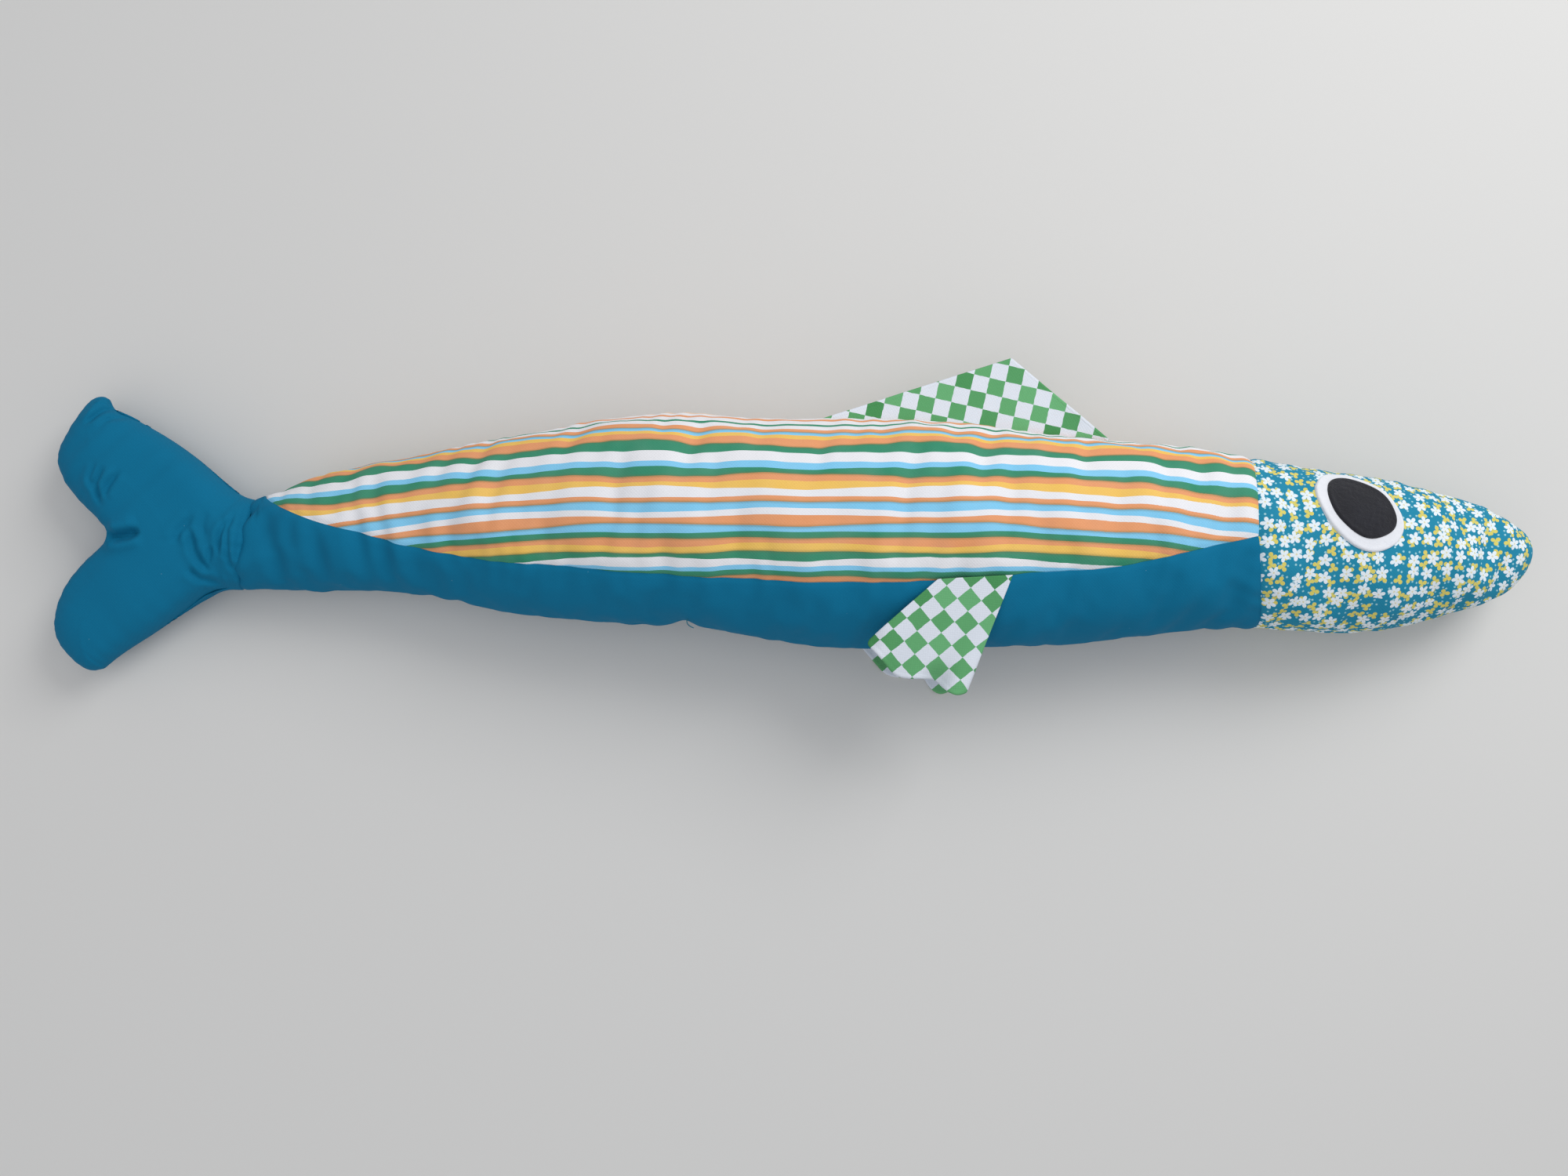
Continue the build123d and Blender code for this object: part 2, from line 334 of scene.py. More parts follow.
def tucked(count):
    """Evenly spaced shares from 0 to 1 with each end doubled, and a mask of the doubled ends to turn in."""
    shares = np.concatenate([[0], np.linspace(0, 1, count), [1]])
    turned = np.zeros(count + 2)
    turned[0] = turned[-1] = 1
    return shares, turned


# --- materials

THREAD_PITCH = 1.8  # mm; the real threads are finer than the eye sees here, so they are drawn coarser
CHECK = 9.6  # mm, the side of one printed square


def linear(hex_colour):
    """A hex sRGB colour as the linear values that a shader takes."""
    parts = [int(hex_colour[n:n + 2], 16) / 255 for n in (1, 3, 5)]
    return (*[v / 12.92 if v <= 0.04045 else ((v + 0.055) / 1.055) ** 2.4 for v in parts], 1)


def add(tree, kind, inputs=(), output=0, **settings):
    """Adds a node with its settings and links, and gives one of its outputs.

    inputs holds values, hex colours or other nodes' outputs, in the sockets' order or by their names or numbers.
    """
    node = tree.nodes.new("ShaderNode" + kind)
    for key, value in settings.items():
        setattr(node, key, value)
    for key, value in (inputs if isinstance(inputs, dict) else dict(enumerate(inputs))).items():
        if isinstance(value, bpy.types.NodeSocket):
            tree.links.new(value, node.inputs[key])
        else:
            node.inputs[key].default_value = linear(value) if isinstance(value, str) else value
    return node.outputs[output] if node.outputs else node


def laid_over(tree, under, over, mask, strength=1.0):
    """One colour laid over another as far as a mask of 0 to 1, times `strength`, says."""
    share = add(tree, "Math", [mask, strength], operation="MULTIPLY")
    return add(tree, "Mix", {0: share, 6: under, 7: over}, 2, data_type="RGBA")


def start_material(name, finish):
    """An empty material with its tree and its Principled shader, which has `finish` on its sockets."""
    material = bpy.data.materials.new(name)
    material.use_nodes = True
    tree = material.node_tree
    tree.nodes.clear()
    surface = add(tree, "BsdfPrincipled", finish)
    add(tree, "OutputMaterial", {"Surface": surface})
    return material, tree, surface.node


def dress(tree, shader, colour, height, relief, distance):
    """Gives the shader its colour, and a bump of `relief` strength and `distance` metres from a height."""
    bumped = add(tree, "Bump", {"Strength": relief, "Distance": distance, "Height": height})
    tree.links.new(colour, shader.inputs["Base Color"])
    tree.links.new(bumped, shader.inputs["Normal"])


def shaken(tree, cloth, scale, detail, reach):
    """The place on the cloth moved by up to `reach` mm at random, so that the lines drawn from it waver."""
    noise = add(tree, "TexNoise", {"Vector": cloth, "Scale": scale, "Detail": detail}, "Color")
    shift = add(tree, "VectorMath", [noise, (reach, reach, 0)], operation="MULTIPLY")
    return add(tree, "VectorMath", [cloth, shift], operation="ADD")


def weave(tree, cloth):
    """Height of a plain weave, 0 to 1: the product of a sine across each set of threads, uneven as spun yarn is."""
    place = shaken(tree, cloth, 0.35, 2.0, 0.9)
    threads = []
    for axis in "XY":
        along = add(tree, "SeparateXYZ", [place], axis)
        turn = add(tree, "Math", [along, 2 * math.pi / THREAD_PITCH], operation="MULTIPLY")
        threads.append(add(tree, "Math", [turn], operation="SINE"))
    both = add(tree, "Math", threads, operation="MULTIPLY")
    crossed = add(tree, "Math", [both, 0.3, 0.5], operation="MULTIPLY_ADD")
    base = add(tree, "Math", [crossed, 0.6], operation="MULTIPLY")
    slub = add(tree, "TexNoise", {"Vector": place, "Scale": 0.9, "Detail": 3.0})
    return add(tree, "Math", [slub, 0.5, base], operation="MULTIPLY_ADD")


def cotton(name, colour_of, relief=0.3):
    """Plain-weave cotton: matt, with painted shade that leaves each thread a little lighter on its crown than in the
    gap beside it.
    """
    material, tree, shader = start_material(name, {"Roughness": 0.85, "Specular IOR Level": 0.2})
    uv = add(tree, "UVMap", uv_map="cloth")
    cloth = add(tree, "VectorMath", [uv, (100, 100, 100)], operation="MULTIPLY")
    height = weave(tree, cloth)
    # painted shade: the colour is darkened in the gaps between threads and lightened on their crowns
    shade = add(tree, "Math", [height, 0.16, 0.90], operation="MULTIPLY_ADD")
    grey = add(tree, "CombineColor", [shade] * 3)
    colour = add(tree, "Mix", {0: 1.0, 6: colour_of(tree, cloth), 7: grey}, 2, data_type="RGBA", blend_type="MULTIPLY")
    dress(tree, shader, colour, height, relief, 0.0006)
    return material


# The striped print's bands from the back seam down: colour, and the top edge at a crest and in a trough, in mm
# from the flank's middle line. The bands rise and fall together once every WAVE_PITCH.
WAVE_PITCH = 166
WAVE_CREST = -82
CREAM, ORANGE, YELLOW, WHITE = "#ECCFB4", "#EA9C66", "#F3C35A", "#ECECEF"
SKY, GREEN = "#7FCBF0", "#218A66"
BANDS = [
    (YELLOW, 110, 110), (CREAM, 97, 98), (WHITE, 86, 88), (ORANGE, 81, 83), (WHITE, 77.5, 79), (GREEN, 72.5, 72),
    (WHITE, 70.3, 69.5), (ORANGE, 65.5, 65), (SKY, 61, 61.5), (YELLOW, 58.3, 58.3), (ORANGE, 56, 54.5),
    (GREEN, 51.5, 47.5), (WHITE, 43.7, 43.3), (SKY, 37, 36.8), (GREEN, 34, 32.3), (ORANGE, 28, 29.7),
    (YELLOW, 24.7, 25.5), (WHITE, 22.8, 20.3), (ORANGE, 16, 16.5), (SKY, 13.6, 13.3), (WHITE, 8, 10),
    (ORANGE, 5, 6.3), (SKY, 2, -0.3), (GREEN, -3.5, -3), (ORANGE, -6.3, -6.6), (YELLOW, -11.5, -9),
    (GREEN, -15, -13.8), (WHITE, -17, -19.3), (SKY, -23.3, -22), (GREEN, -25.5, -25), (ORANGE, -30, -28),
    (GREEN, -36, -32.5),
]
OVERPRINTS = ({GREEN, ORANGE}, {GREEN, YELLOW}, {SKY, ORANGE})  # neighbours whose inks overlap in a dark line


def band_coordinate(x, across):
    """Which band of the print a point lies in, as its number plus the share of its width passed, and a mask of the
    narrow lines where green or blue ink runs over orange or yellow.
    """
    crest_share = 0.5 + 0.5 * np.cos(2 * np.pi * (x - WAVE_CREST) / WAVE_PITCH)
    across = across + 10 * np.clip((np.abs(x) - 120) / 130, 0, 1.2) ** 1.6
    across = across + 0.5 * waves(x, 70, 5)
    result = np.zeros_like(x)
    overprint = np.zeros_like(x)
    for number, (upper, lower) in enumerate(zip(BANDS[:-1], BANDS[1:])):
        top, bottom = (trough + crest_share * (crest - trough) for _, crest, trough in (upper, lower))
        result = result + np.clip((top - across) / (top - bottom), 0, 1)
        if {upper[0], lower[0]} in OVERPRINTS:
            overprint = np.maximum(overprint, bump(across - bottom, 0.8))
    return result, overprint


def stripes(tree, cloth):
    """The wavy stripes: one flat ink for each band, a little uneven, with a dark olive line where inks overprint."""
    band = add(tree, "Attribute", output="Fac", attribute_name="band")
    inks = add(tree, "ValToRGB", [add(tree, "Math", [band, len(BANDS)], operation="DIVIDE")])
    ramp = inks.node.color_ramp
    ramp.interpolation = "CONSTANT"
    while len(ramp.elements) < len(BANDS):
        ramp.elements.new(1)
    for number, (colour, _, _) in enumerate(BANDS):
        ramp.elements[number].position = number / len(BANDS)
        ramp.elements[number].color = linear(colour)
    overprint = add(tree, "Attribute", output="Fac", attribute_name="overprint")
    uneven = add(tree, "TexNoise", {"Vector": cloth, "Scale": 0.05, "Detail": 2.0})
    return laid_over(tree, laid_over(tree, inks, "#5E6B35", overprint, 0.55), "#FFFFFF", uneven, 0.08)


def dyed(hex_colour, pale):
    """One dyed colour with a slow cloudy change and a few specks of pale lint."""
    def colour_of(tree, cloth):
        cloud = add(tree, "TexNoise", {"Vector": cloth, "Scale": 0.018, "Detail": 3.0})
        lint = add(tree, "TexVoronoi", {"Vector": cloth, "Scale": 0.09, "Randomness": 1.0}, "Distance")
        speck = add(tree, "Math", [lint, 0.022], operation="LESS_THAN")
        return laid_over(tree, laid_over(tree, hex_colour, pale, cloud, 0.3), "#9FC6CF", speck, 0.35)
    return colour_of


def checks(tree, cloth):
    """Chequered print: squares counted along and across, odd sums green, each green a slightly different one."""
    place = shaken(tree, cloth, 0.3, 1.0, 0.7)
    scaled = add(tree, "VectorMath", [place, (1 / CHECK, 1 / CHECK, 0)], operation="MULTIPLY")
    cell = add(tree, "VectorMath", [scaled], operation="FLOOR")
    total = add(tree, "Math", [add(tree, "SeparateXYZ", [cell], axis) for axis in "XY"], operation="ADD")
    parity = add(tree, "Math", [total, 1.0], operation="PINGPONG")
    odd = add(tree, "Math", [parity, 0.5], operation="GREATER_THAN")
    shade = add(tree, "TexWhiteNoise", {"Vector": cell}, noise_dimensions="2D")
    return laid_over(tree, "#E2E8F1", laid_over(tree, "#4A9357", "#6FB67C", shade), odd)


def petals(tree, cloth, pitch, shift, count, reach, notch, keep):
    """Small flowers scattered about `pitch` mm apart: the mask of their petals, and the distance from their middles.

    Each has `count` round petals that reach `reach` mm, parted down to `notch` of that, turned at random.
    """
    moved = add(tree, "VectorMath", [cloth, shift], operation="ADD")
    cells = add(tree, "TexVoronoi", {"Vector": moved, "Scale": 1 / pitch, "Randomness": 0.62},
                voronoi_dimensions="2D").node.outputs
    offset = add(tree, "VectorMath", [moved, cells["Position"]], operation="SUBTRACT")
    distance = add(tree, "VectorMath", [offset], "Value", operation="LENGTH")
    x, y = (add(tree, "SeparateXYZ", [offset], axis) for axis in "XY")
    start, chance = (add(tree, "SeparateColor", [cells["Color"]], part) for part in (0, 1))
    angle = add(tree, "Math", [y, x], operation="ARCTAN2")
    angle = add(tree, "Math", [start, 6.28, angle], operation="MULTIPLY_ADD")
    lobes = add(tree, "Math", [angle, count / 2], operation="MULTIPLY")
    for operation in ("COSINE", "ABSOLUTE"):
        lobes = add(tree, "Math", [lobes], operation=operation)
    lobes = add(tree, "Math", [lobes, 0.75], operation="POWER")
    edge = add(tree, "Math", [lobes, (1 - notch) * reach, notch * reach], operation="MULTIPLY_ADD")
    inside = add(tree, "Math", [distance, edge], operation="LESS_THAN")
    kept = add(tree, "Math", [chance, keep], operation="LESS_THAN")
    return add(tree, "Math", [inside, kept], operation="MULTIPLY"), distance


def flowers(tree, cloth):
    """Small-flower print: pale dots, yellow three-leaf sprigs and white five-petal flowers on a blue-green ground."""
    colour = "#2188A8"
    for ink, strength, layout in (
        ("#A9DAE0", 0.8, (3.5, (1.3, 0.7, 0), 4, 0.65, 0.9, 0.75)),
        ("#DDD06C", 1, (7.6, (4.1, 2.2, 0), 3, 3.0, 0.08, 0.85)),
        ("#E6F0F6", 1, (9.8, (0, 0, 0), 5, 3.8, 0.28, 0.93)),
    ):
        mask, distance = petals(tree, cloth, *layout)
        colour = laid_over(tree, colour, ink, mask, strength)
    near = add(tree, "Math", [distance, 0.6], operation="LESS_THAN")
    heart = add(tree, "Math", [mask, near], operation="MULTIPLY")
    return laid_over(tree, colour, "#D9C24A", heart, 0.5)


def fuzzy(name, hex_colour, pale, grain, relief, sheen):
    """Matted or looped fibre, `grain` mm thick: no shine, a soft light edge of loose hairs, and paler raised fibres,
    partly their own uneven tone and partly painted light.
    """
    material, tree, shader = start_material(name, {"Roughness": 0.95, "Sheen Weight": sheen})
    place = add(tree, "TexCoord", output="Object")
    fibres = add(tree, "TexNoise", {"Vector": place, "Scale": 1000 / grain, "Detail": 5.0, "Roughness": 0.7,
                                    "Distortion": 1.5})
    tufts = add(tree, "TexNoise", {"Vector": place, "Scale": 200 / grain, "Detail": 2.0})
    height = add(tree, "Math", [fibres, tufts], operation="ADD")
    # paler where the fibre stands higher: uneven fibre tone, together with painted light on the raised fibres and
    # loops
    dress(tree, shader, laid_over(tree, hex_colour, pale, height, 0.5), height, relief, 0.001)
    return material


# Printed cotton, plain weave: flat dull inks over a thread that shows as a fine grain of bumps and painted shade
# between the threads
STRIPED = cotton("striped_cotton", stripes)
FLORAL = cotton("floral_cotton", flowers)
CHECKED = cotton("check_cotton", checks)
# Piece-dyed cotton, tighter woven: one deep colour, so light shows its folds and specks of lint
TEAL = cotton("teal_cotton", dyed("#006B90", "#0080AC"), relief=0.2)
# Pressed felt: chalky white with a soft edge
FELT = fuzzy("white_felt", "#D9DCE4", "#F4F5F8", 2.0, 0.35, 0.3)
# Looped wool: near black, the grey on its raised loops is painted light
WOOL = fuzzy("black_wool", "#030305", "#2B2C35", 4.0, 1.0, 0.1)
# Loose polyester fibre: off-white and woolly
FIBRE = fuzzy("fibre_filling", "#E4E4DE", "#F6F6F2", 3.0, 0.6, 0.2)
# Spun polyester thread: a hairy teal line
THREAD = fuzzy("sewing_thread", "#0A4E63", "#2E8FA6", 0.8, 0.3, 0.1)


def finish_piece(piece, material, slot, *nodes):
    """Gives a piece its material and hides the CAD nodes that it stands for. slot is not used."""
    piece.data.materials.append(material)
    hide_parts(*nodes)
    return piece


# --- the cover blown up between its seams

MOST_SETTLING = 1.8  # mm that the cover may move
FINER = 3  # points of the kept displacement for each one of the cloth
FRAMES = 20


def spread_finely(field, times):
    """A field on a coarse grid, closed round its columns, read `times` as finely and smoothed."""
    rows, columns = field.shape
    wide = np.concatenate([field, field[:, :1]], 1)
    fine_rows, fine_columns = np.arange((rows - 1) * times + 1) / times, np.arange(columns * times) / times
    wide = np.stack([np.interp(fine_rows, np.arange(rows), column) for column in wide.T], 1)
    wide = np.stack([np.interp(fine_columns, np.arange(columns + 1), row) for row in wide])
    for _ in range(3):
        wide = (np.roll(wide, 1, 1) + wide + np.roll(wide, -1, 1)) / 3
        wide[1:-1] = (wide[2:] + wide[1:-1] + wide[:-2]) / 3
    return wide


def settle_cover():
    """Blows a closed copy of the cover up with Blender's cloth, held along its seams and cut 3% too large.

    The cloth buckles between the seams as a stuffed cover does. Only its movement square to the surface is kept,
    softly limited, and the panels and the filling read it from there.
    """
    rows, columns = 180, 72
    xs, angles = np.linspace(-327, 444, rows), np.linspace(-np.pi, np.pi, columns + 1)[:-1]
    x, angle = np.meshgrid(xs, angles, indexing="ij")
    before = body_point(x, angle, -1.0)
    cover = closed_lump("cover", before)
    flank = np.abs(np.abs(angle) - flank_angle(x)) < 0.6 * (angles[1] - angles[0])
    held = (np.abs(angle) < 0.01) | (np.abs(angle) > np.pi - 0.01) | (flank & (x < 275))
    held = held | (np.abs(x - neck_x(angle)) < 2.5)
    held[:2] = held[-4:] = True
    seams = cover.vertex_groups.new(name="seams")
    seams.add(np.flatnonzero(held.ravel()).tolist() + [rows * columns, rows * columns + 1], 1, "REPLACE")
    cloth = cover.modifiers.new("cloth", "CLOTH")
    cloth.settings.vertex_group_mass = "seams"
    cloth.settings.use_pressure = True
    cloth.settings.uniform_pressure_force = 4
    cloth.settings.effector_weights.gravity = 0
    cloth.settings.shrink_min = -0.03
    cloth.settings.quality = 5
    cloth.settings.bending_stiffness = 0.3
    for number in range(1, FRAMES + 1):
        bpy.context.scene.frame_set(number)
    moved = cover.evaluated_get(bpy.context.evaluated_depsgraph_get()).to_mesh()
    after = np.zeros(len(moved.vertices) * 3)
    moved.vertices.foreach_get("co", after)
    after = after.reshape(-1, 3)[:rows * columns].reshape(rows, columns, 3) / MM
    bpy.data.objects.remove(cover)
    bpy.context.scene.frame_set(1)
    outward = np.stack([0 * angle, np.cos(angle), np.sin(angle)], -1)
    rise = ((after - before) * outward).sum(-1)
    rise = rise - np.median(rise)
    fine = spread_finely(MOST_SETTLING * np.tanh(rise / MOST_SETTLING), FINER)
    SETTLING["field"] = np.concatenate([fine, fine[:, :1]], 1)
    SETTLING["first"], SETTLING["step"] = xs[0], (xs[1] - xs[0]) / FINER


settle_cover()

# --- body panels

def tip_x():
    """Where the flank seam runs out at the back seam: the striped panel's point."""
    x = np.linspace(-325, -290, 200)
    return float(x[np.argmax(flank_angle(x) > 0.02)])


STRIPE_START = tip_x()


def panel_grid(rows, columns, x_at, angle_at, side):
    """Points of one panel: x runs between its end seams and the angle between its long seams, all edges tucked in."""
    along, end_turned = tucked(rows)
    around, edge_turned = tucked(columns)
    share_x, share_angle = np.meshgrid(along, around, indexing="ij")
    x = np.zeros_like(share_x)
    angle = np.full_like(share_x, 1.5)
    for _ in range(6):
        x = x_at(share_x, angle)
        angle = angle_at(share_angle, x)
    x[0] -= 0.8 * TUCK
    x[-1] = np.minimum(x[-1] + 0.8 * TUCK, SNOUT_X)
    lift = -TUCK * np.clip(end_turned[:, None] + edge_turned[None, :], 0, 1)
    return x, side * angle, body_point(x, side * angle, lift)


def back_panel(side):
    """The striped panel: from its point above the tail to the neck, and from the back seam to the flank seam."""
    return panel_grid(290, 160, lambda s, angle: STRIPE_START + s * (neck_x(angle) - STRIPE_START),
                      lambda t, x: t * np.maximum(flank_angle(x), 0.004), side)


def belly_panel(side):
    """The teal panel: from the tail seam to the neck, and from the flank seam to the belly seam."""
    return panel_grid(300, 90, lambda s, angle: tail_seam_x(angle) + s * (neck_x(angle) - tail_seam_x(angle)),
                      lambda t, x: flank_angle(x) + t * (np.pi - flank_angle(x)), side)


def head_panel(side):
    """The floral panel: from the neck to the snout, its rows closer together there, and from back to belly."""
    return panel_grid(110, 110, lambda s, angle: neck_x(angle) + np.sin(s * np.pi / 2) * (SNOUT_X - neck_x(angle)),
                      lambda t, x: t * np.pi, side)


for side_name, side in SIDES:
    for name, node, shape, material, slot, flat, area in (
        ("striped_back", "back_panel", back_panel, STRIPED, "striped_cotton", (0.16, 0.61), 0.0665),
        ("teal_belly", "belly_panel", belly_panel, TEAL, "teal_cotton", (0.11, 0.63), 0.042),
        ("floral_head", "head_panel", head_panel, FLORAL, "floral_cotton", (0.15, 0.20), 0.0225),
    ):
        x, angle, points = shape(side)
        across = across_cloth(x, angle)
        printed = dict(zip(("band", "overprint"), band_coordinate(x, across))) if material == STRIPED else None
        piece = cloth_leaf(f"{name}_{side_name}", points, np.stack([x, across], -1), np.array([0, 0, side]),
                           attributes=printed)
        finish_piece(piece, material, slot, f"{node}_{side_name}")
        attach(piece, "body")


# --- fillings

FILLING_DEPTH = 3.2


def body_filling():
    """The body surface sunk under the cloth, from just inside the tail seam to the snout, lumpy as packed fibre is."""
    x = np.concatenate([np.linspace(-325, 436, 220), [441, 445]])[:, None]
    angle = np.linspace(0, 2 * np.pi, 97)[None, :-1]
    x, angle = x + 0 * angle, angle + 0 * x
    turn = np.where(angle > np.pi, angle - 2 * np.pi, angle)
    lumps = 0.35 * waves(x + 30 * np.cos(angle), 21, 71)
    piece = closed_lump("body_filling", body_point(x, turn, lumps - FILLING_DEPTH))
    return finish_piece(piece, FIBRE, "fibre_filling", "body_stuffing")


body_core = body_filling()
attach(body_core, "body")


# --- tail

def rounded(line, passes=2):
    """A line of straight runs with its corners cut twice over, which leaves short smooth bends; its ends stay."""
    for _ in range(passes):
        a, b = line[:-1] * 0.75 + line[1:] * 0.25, line[:-1] * 0.25 + line[1:] * 0.75
        middle = np.stack([a, b], 1).reshape(-1, 2)
        line = np.concatenate([line[:1], middle, line[-1:]])
    return line


OUTLINE = np.concatenate([rounded(TAIL_TOP_EDGE), rounded(TAIL_REAR_EDGE)[1:], rounded(TAIL_LOW_EDGE)[::-1][1:]])
RASTER = 1.5
RELAXING = 3500  # passes over the raster
TAIL_MOST = 24  # mm, which the tail's half thickness comes near and doesn't pass
ROOT_REACH = 26  # mm from the seam over which the body's section becomes the tail's
# Creases drawn into the tail's right side: the points along each, then its width and depth
TAIL_CREASES = [
    ([(-411, 79.5), (-418, 72.5), (-425, 64)], 1.8, 1.5),
    ([(-402, 70), (-409, 68.6), (-415, 66.5)], 1.5, 0.7),
    ([(-415.7, 41), (-419.7, 31.5), (-418, 24)], 1.7, 1.0),
    ([(-411, 39.5), (-415.7, 29), (-414, 15)], 1.8, 1.3),
    ([(-401, 36.5), (-408, 27), (-411, 20)], 1.7, 1.1),
    ([(-411, -2.2), (-403.5, -3.8), (-396, -2.6), (-388, 0)], 2.6, 3.2),
    ([(-356.5, 9), (-365.5, -0.5), (-368, -8)], 2.4, 0.9),
    ([(-359.4, 2), (-356.6, -12), (-348.5, -26)], 2.0, 1.3),
    ([(-361, -22), (-354, -29), (-344, -31.4)], 2.0, 1.2),
    ([(-346, -8.5), (-348.5, -20.5)], 1.6, 0.9),
    ([(-337, 7), (-340.5, -3), (-341.8, -15)], 1.7, 1.2),
    ([(-333, 12), (-335.8, 0), (-336, -16), (-334, -27)], 1.6, 0.9),
    ([(-349, 13), (-352, 3), (-350, -5)], 2.4, 0.5),
]


def line_distance(plan, line):
    """Distance in mm from plan points to a line of straight runs, and which share of the whole line is nearest."""
    nearest = np.full(plan.shape[:-1], 1e9)
    share = np.zeros(plan.shape[:-1])
    runs = len(line) - 1
    for number, (start, end) in enumerate(zip(line[:-1], line[1:])):
        run = np.subtract(end, start)
        t = np.clip(((plan - start) @ run) / (run @ run + 1e-9), 0, 1)
        distance = np.linalg.norm(plan - start - t[..., None] * run, axis=-1)
        share = np.where(distance < nearest, (number + t) / runs, share)
        nearest = np.minimum(nearest, distance)
    return nearest, share


def inside_outline(plan, outline):
    """Whether plan points are inside a closed outline, by counting the edges that a line to one side crosses."""
    count = np.zeros(plan.shape[:-1], int)
    for (x0, y0), (x1, y1) in zip(outline, np.roll(outline, -1, axis=0)):
        crosses = (y0 > plan[..., 1]) != (y1 > plan[..., 1])
        at = x0 + (plan[..., 1] - y0) * (x1 - x0) / (y1 - y0 if y1 != y0 else 1e-9)
        count += crosses & (plan[..., 0] < at)
    return count % 2 == 1


def membrane():
    """How a blown-up cover stands over the tail's outline: a function that gives its height at plan points, in mm.

    A stretched membrane over the outline obeys laplacian(phi) = -1. It is relaxed on a raster, and sqrt(2 phi) is
    the height of a round tube of that width. phi divided by the distance to the edge is what the raster keeps,
    so that the exact distance can be put back at each point.
    """
    outline = np.concatenate([OUTLINE, [(-310, -34), (-310, 19.5)]])
    xs, ys = np.arange(-456, -310, RASTER), np.arange(-93, 93, RASTER)
    plan = np.stack(np.meshgrid(xs, ys, indexing="ij"), -1)
    inside = inside_outline(plan, outline)
    phi = np.zeros(inside.shape)
    for _ in range(RELAXING):
        around = phi.copy()
        around[1:-1, 1:-1] = (phi[2:, 1:-1] + phi[:-2, 1:-1] + phi[1:-1, 2:] + phi[1:-1, :-2] + RASTER**2) / 4
        around[-1] = around[-2]
        phi = np.where(inside, around, 0)
    edge, _ = line_distance(plan, OUTLINE)
    ratio = np.where(inside, phi / np.maximum(edge, RASTER), 0)
    weight = inside.astype(float)
    for _ in range(6):
        for grid in (ratio, weight):
            grid[1:-1, 1:-1] = (grid[1:-1, 1:-1] * 4 + grid[2:, 1:-1] + grid[:-2, 1:-1] + grid[1:-1, 2:]
                                + grid[1:-1, :-2]) / 8
    ratio = ratio / np.maximum(weight, 1e-6)

    def height(at):
        value = read_grid(ratio, (at[..., 0] - xs[0]) / RASTER, (at[..., 1] - ys[0]) / RASTER)
        edge, _ = line_distance(at, OUTLINE)
        tall = TAIL_FULLNESS * np.sqrt(2 * np.maximum(value * edge, 0))
        return tall / (1 + (tall / TAIL_MOST) ** 4) ** 0.25

    return height


tail_height = membrane()


def resample(line, shares):
    """Points at shares of a line's length."""
    length = np.concatenate([[0], np.cumsum(np.hypot(*np.diff(line, axis=0).T))])
    return np.stack([np.interp(shares * length[-1], length, line[:, n]) for n in (0, 1)], -1)


def tail_surface(side, sunk=0.0):
    """One side of the tail as a grid from the tail seam (first row) to the rear edge (last row).

    The plan fills its four borders. The height is the membrane's, eased into the body's section at the seam, less
    the creases.
    """
    u = (1 - np.cos(np.linspace(0, 1, 130) * np.pi)) / 2
    v = (1 - np.cos(np.linspace(0, 1, 150) * np.pi)) / 2
    top, low, rear = (resample(rounded(line), shares) for line, shares in (
        (TAIL_TOP_EDGE, u), (TAIL_LOW_EDGE, u), (TAIL_REAR_EDGE, v)))
    angle = v * np.pi
    seam_x = tail_seam_x(angle)
    centre, middle, half_height, half_thickness = section(seam_x)
    seam_y = centre + half_height * np.cos(angle)
    spread = (seam_y[0] - seam_y) / (seam_y[0] - seam_y[-1])
    straight = np.stack([seam_x, seam_y], -1)
    top = top + (straight[0] - top[0]) * (1 - u[:, None]) ** 4
    low = low + (straight[-1] - low[0]) * (1 - u[:, None]) ** 4
    across = (v[None, :] + (spread - v)[None, :] * (1 - u[:, None]))[..., None]
    plan = coons_patch(straight, rear, top, low, u[:, None, None], across)
    tall = tail_height(plan)
    root = half_thickness * np.sin(angle)
    reach = np.clip((seam_x[None, :] - plan[..., 0]) / ROOT_REACH, 0, 1)
    ease = reach * reach * (3 - 2 * reach)
    centre_z = TAIL_MIDDLE + (middle[None, :] - TAIL_MIDDLE) * (1 - ease)
    tall = tall * ease + root[None, :] * (1 - ease)
    relief = 0.7 * waves(plan[..., 0] + 0.6 * plan[..., 1], 60, 3) + 0.3 * waves(plan[..., 1] - plan[..., 0], 22, 8)
    edge, share = line_distance(plan, OUTLINE)
    relief = relief + 0.4 * waves(share * 560, 12, 5) * np.exp(-edge / 9)
    seam = np.abs(plan[..., 0] - seam_x[None, :])
    relief = relief - 1.6 * bump(seam, 2.0) + 0.7 * bump(seam - 7, 5)
    relief = relief + 0.5 * waves(plan[..., 1] * 1.3 + 0.3 * plan[..., 0], 13, 9) * np.exp(-seam / 10)
    for line, width, depth in TAIL_CREASES:
        distance, share = line_distance(plan, np.array(line, float))
        fade = np.clip(np.minimum(share, 1 - share) * 5, 0, 1)
        hollow = bump(distance, width) - 0.5 * bump(distance - 2.2 * width, 1.4 * width)
        relief = relief - 1.7 * depth * fade * hollow
    relief = relief * np.clip(tall / 7, 0, 1) * (1 if side > 0 else 0.5)
    rim = np.minimum(np.minimum(v, 1 - v)[None, :], 1 - u[:, None])
    tall = np.maximum(tall + relief - sunk, 0) * np.sqrt(np.clip(rim / 0.004, 0, 1))
    z = centre_z + side * tall
    if side < 0:
        z = np.maximum(z, FLOOR_GAP)
    points = np.concatenate([plan, z[..., None]], -1)
    core = np.stack([seam_x + TUCK, centre, middle], -1)
    turned_in = core + (points[0] - core) * np.array([0, 0.93, 0.93])
    return np.concatenate([turned_in[None], points])


